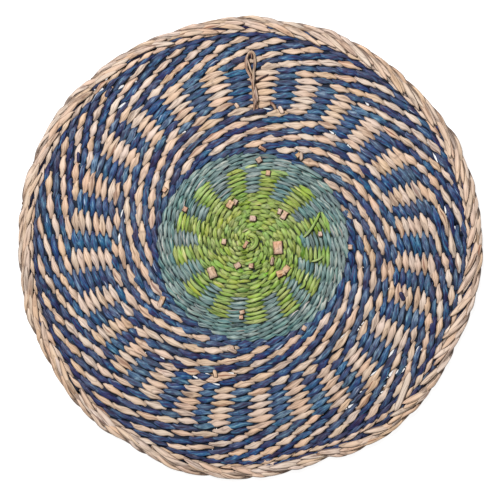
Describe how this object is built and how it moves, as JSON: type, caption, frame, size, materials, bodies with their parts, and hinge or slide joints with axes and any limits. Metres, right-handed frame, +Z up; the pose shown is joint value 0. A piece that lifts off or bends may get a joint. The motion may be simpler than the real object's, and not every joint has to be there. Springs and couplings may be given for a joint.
{
  "type": "round seagrass placemat",
  "caption": "Flat round table mat of seagrass twined in green, teal, blue and natural rings, with a plaited rim and a thin cord loop to hang it by.",
  "frame": {"origin": "middle of the mat's underside, on the surface it lies on", "axes": "+Z up, out of the face that carries the hanging loop; +Y towards the hanging loop; +X to the right of the loop seen from above"},
  "size_m": [0.38, 0.378, 0.0104],
  "materials": {
    "weave": "matt dry grass, dyed and natural",
    "cord": "matt twisted natural grass"
  },
  "bodies": {
    "root": {"woven_mat": "weave", "hanging_loop": "cord"}
  },
  "joints": []
}
